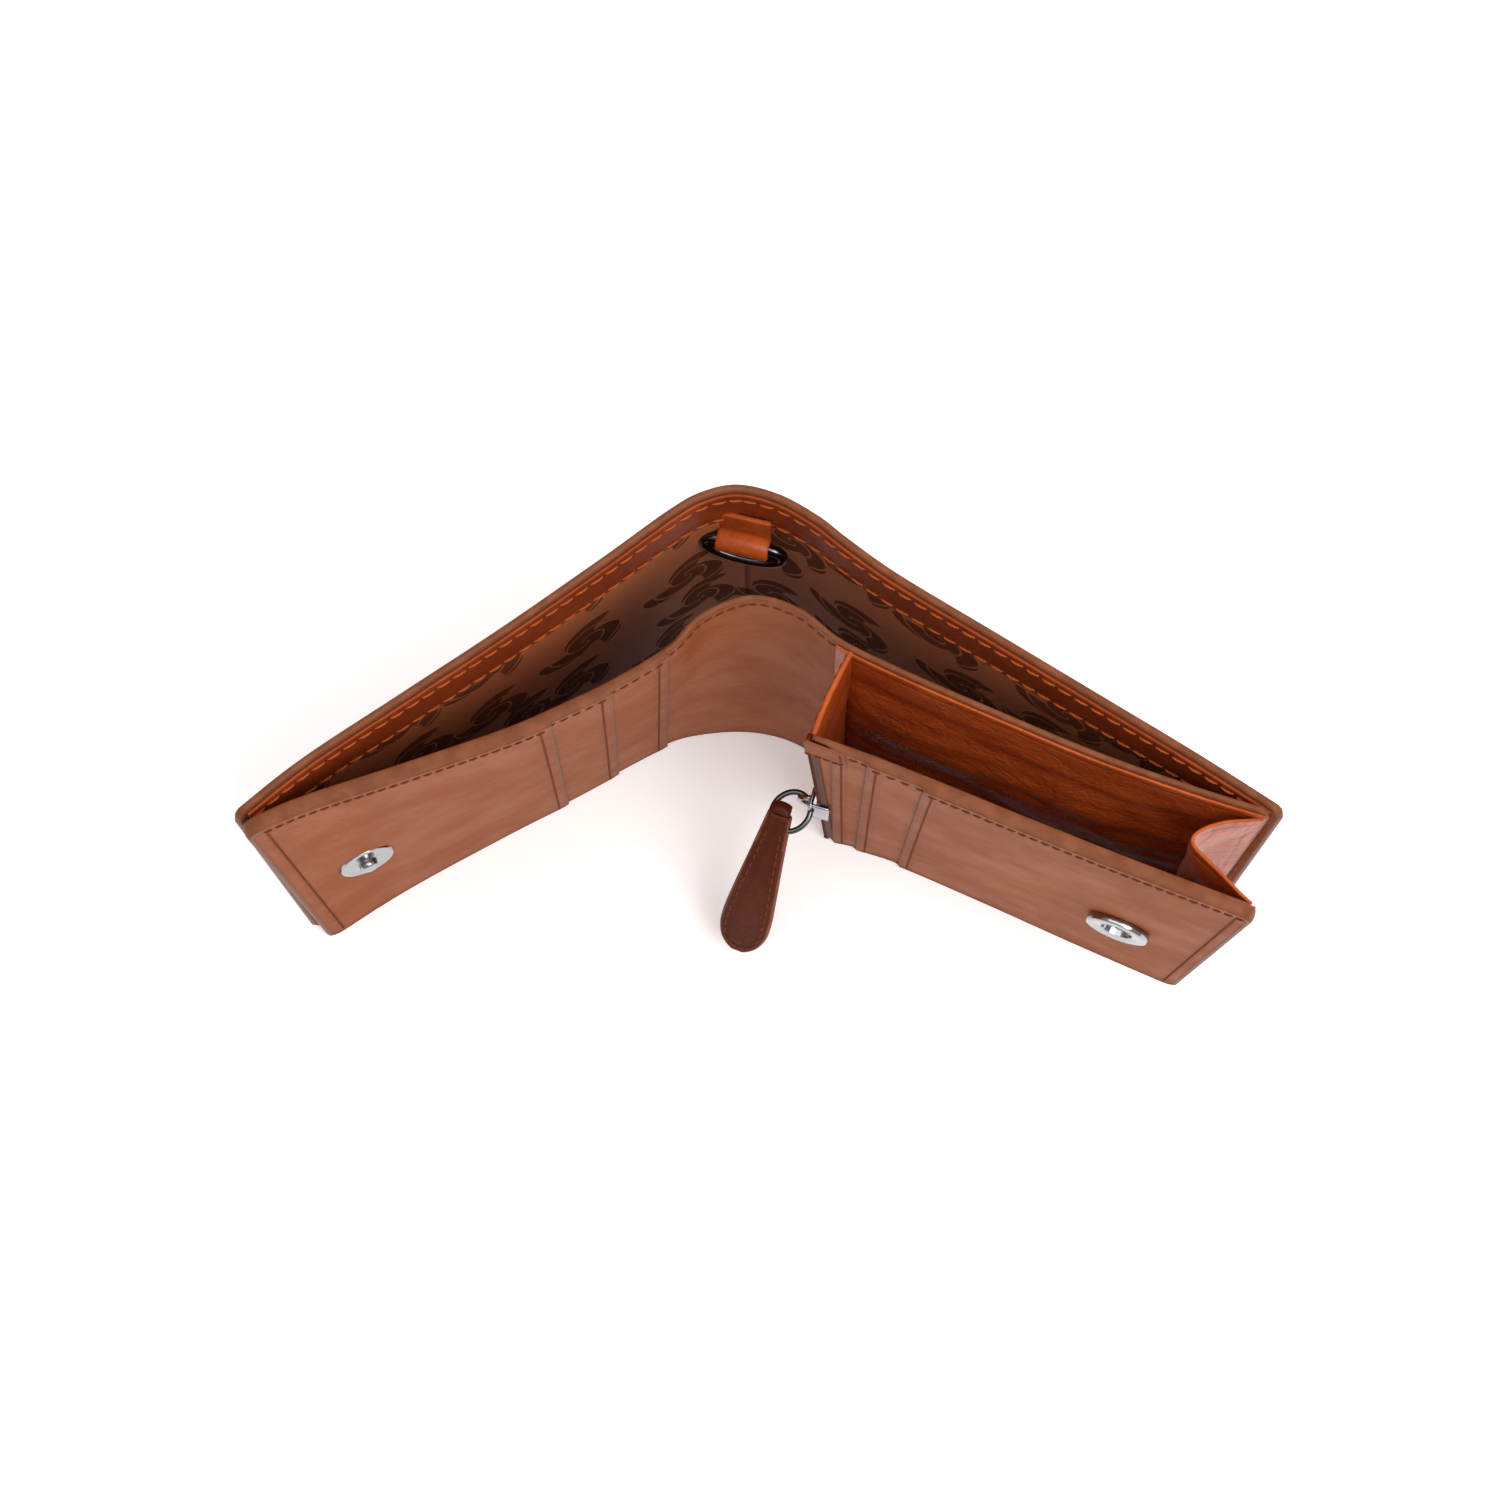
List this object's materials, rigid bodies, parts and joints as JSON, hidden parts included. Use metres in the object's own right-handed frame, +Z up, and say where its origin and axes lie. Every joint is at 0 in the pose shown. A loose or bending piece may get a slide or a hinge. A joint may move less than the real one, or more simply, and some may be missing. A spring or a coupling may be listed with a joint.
{
  "type": "bifold wallet",
  "caption": "Small leather bifold wallet standing half open: bill compartment, stepped card pockets, gusseted pocket, zip pocket with pull tab, magnetic snap.",
  "frame": {"origin": "middle of the wallet's box on the surface it stands on", "axes": "+X to the right along the open wallet, +Y towards the spine, +Z up"},
  "size_m": [0.1742, 0.0748, 0.095],
  "materials": {
    "cover_leather": "matte pebbled tan leather with darker painted edges",
    "glossy_leather": "soft glossy orange-brown leather",
    "dark_leather": "satin red-brown leather",
    "lining_fabric": "woven dark brown lining with a tone-on-tone leaf pattern",
    "board": "grey-brown card",
    "nickel": "polished nickel",
    "gunmetal": "dark polished metal",
    "magnet": "dull nickel-plated magnet"
  },
  "bodies": {
    "spine": {"cover_spine": "cover_leather", "spine_lining": "lining_fabric", "spine_facing": "dark_leather", "key_loop": "glossy_leather"},
    "key_ring": {"key_ring": "gunmetal"},
    "cover_left": {"cover_left": "cover_leather", "board_left": "board", "cover_lining_left": "lining_fabric", "facing_left": "dark_leather"},
    "cover_right": {"cover_right": "cover_leather", "board_right": "board", "cover_lining_right": "lining_fabric", "facing_right": "dark_leather"},
    "middle": {"divider_middle": "cover_leather", "middle_lining": "lining_fabric"},
    "divider_left": {"divider_left": "cover_leather", "divider_lining_left": "lining_fabric", "left_pocket_back": "cover_leather", "left_pocket_middle": "cover_leather", "left_pocket_front": "cover_leather", "snap_stud": "nickel", "stud_backing": "nickel"},
    "divider_right": {"divider_right": "cover_leather", "divider_lining_right": "lining_fabric", "pocket_back_lining": "glossy_leather", "pocket_gusset": "glossy_leather"},
    "card_panel": {"pocket_front_lining": "glossy_leather", "zip_pocket_lining": "lining_fabric", "card_backing": "cover_leather", "card_slot_back": "cover_leather", "card_slot_middle": "cover_leather", "card_front": "cover_leather", "zip_tapes": "lining_fabric", "zip_teeth": "nickel", "zip_stops": "nickel", "snap_socket": "nickel", "snap_magnet": "magnet", "socket_backing": "nickel"},
    "zip_slider": {"zip_slider": "nickel"},
    "pull_ring": {"pull_ring": "gunmetal"},
    "pull_tab": {"pull_tab": "dark_leather"}
  },
  "joints": [
    {"name": "fold_left", "type": "hinge", "parent": "spine", "child": "cover_left", "pos_m": [-0.017, 0.02901, 0], "axis": [0, 0, 1], "range_deg": [-8, 60]},
    {"name": "fold_right", "type": "hinge", "parent": "spine", "child": "cover_right", "pos_m": [0.017, 0.02901, 0], "axis": [0, 0, -1], "range_deg": [-8, 60]},
    {"name": "middle_slide", "type": "slide", "parent": "spine", "child": "middle", "axis": [0, 1, 0], "range_m": [-0.00161, 0.01201]},
    {"name": "divider_left_fold", "type": "hinge", "parent": "middle", "child": "divider_left", "pos_m": [-0.01272, 0.0081, 0], "axis": [0, 0, 1], "range_deg": [-9.88, 73.15]},
    {"name": "divider_right_fold", "type": "hinge", "parent": "middle", "child": "divider_right", "pos_m": [0.01272, 0.0081, 0], "axis": [0, 0, -1], "range_deg": [-9.88, 73.15]},
    {"name": "pocket_press", "type": "slide", "parent": "divider_right", "child": "card_panel", "axis": [0.3733, 0.9277, 0], "range_m": [-0.00138, 0.01031], "deforming": ["pocket_gusset"]},
    {"name": "zip_slide", "type": "slide", "parent": "card_panel", "child": "zip_slider", "axis": [0, 0, 1], "range_m": [-0.025, 0.048]},
    {"name": "ring_swing", "type": "hinge", "parent": "zip_slider", "child": "pull_ring", "pos_m": [0.01022, -0.00641, 0.036], "axis": [-0.3733, -0.9277, 0], "range_deg": [-2, 12]},
    {"name": "tab_swing", "type": "hinge", "parent": "pull_ring", "child": "pull_tab", "pos_m": [0.00702, -0.00847, 0.03381], "axis": [0.656, -0.2639, 0.7071], "range_deg": [-4.33, 32.06]},
    {"name": "key_ring_swing", "type": "hinge", "parent": "spine", "child": "key_ring", "pos_m": [0, 0.03288, 0.076], "axis": [1, 0, 0], "range_deg": [-2.44, 18.04]}
  ],
  "couplings": [
    {"joint": "fold_right", "follows": "fold_left", "ratio": 1},
    {"joint": "middle_slide", "follows": "fold_left", "m_per_rad": 0.011459},
    {"joint": "divider_left_fold", "follows": "fold_left", "ratio": 1.2167},
    {"joint": "divider_right_fold", "follows": "fold_left", "ratio": 1.2167},
    {"joint": "pocket_press", "follows": "fold_left", "m_per_rad": 0.0098358},
    {"joint": "tab_swing", "follows": "fold_left", "ratio": 0.53333},
    {"joint": "key_ring_swing", "follows": "fold_left", "ratio": 0.3}
  ]
}
